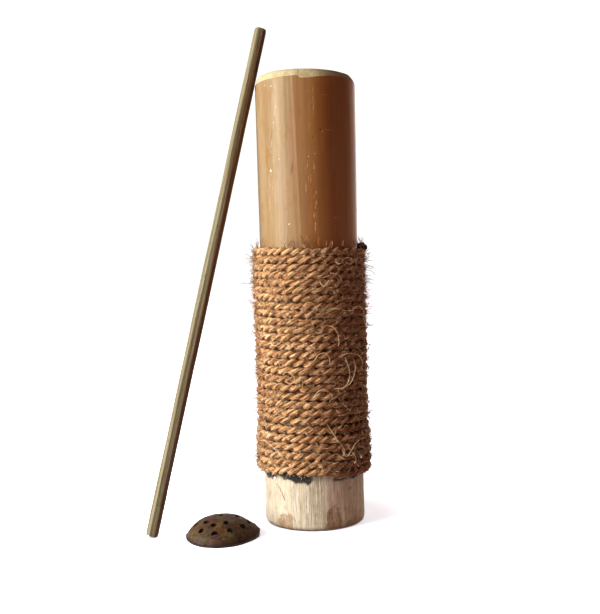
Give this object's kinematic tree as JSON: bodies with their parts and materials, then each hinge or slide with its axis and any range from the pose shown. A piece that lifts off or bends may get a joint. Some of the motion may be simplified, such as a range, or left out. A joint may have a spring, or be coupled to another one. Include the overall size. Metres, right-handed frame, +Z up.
{
  "type": "bamboo steamer tube",
  "caption": "Bamboo steaming tube with a coir-rope grip on a bored wooden foot, with a loose perforated coconut-shell strainer and a push stick leaning on the rim.",
  "frame": {"origin": "centre of the foot's underside, where the steam bore opens", "axes": "+Z up along the tube from foot to rim; -Y towards the viewer; the stick leans on the rim at -X"},
  "size_m": [0.1567, 0.1047, 0.3473],
  "materials": {
    "bamboo": "smooth polished bamboo skin with fine lengthwise streaks and scratches",
    "foot_wood": "pale whittled wood, matt, stained brown at the lower edge and charred under the rope",
    "peg_wood": "split bamboo, matt",
    "coir": "rough two-strand coir rope with loose fibres",
    "coconut_shell": "scraped coconut shell, satin, with drilled holes",
    "stick_wood": "whittled stick with split-grain faces, matt"
  },
  "bodies": {
    "steamer": {"bamboo_tube": "bamboo", "wooden_foot": "foot_wood", "foot_pegs": "peg_wood", "coir_rope": "coir"},
    "strainer": {"shell_strainer": "coconut_shell"},
    "pusher": {"push_stick": "stick_wood"}
  },
  "joints": [
    {"name": "strainer_lift", "type": "slide", "parent": "steamer", "child": "strainer", "axis": [0, -0.5, 0.866], "range_m": [0, 0.36]},
    {"name": "stick_lift", "type": "slide", "parent": "steamer", "child": "pusher", "axis": [-0.5, 0, 0.866], "range_m": [0, 0.36]}
  ]
}
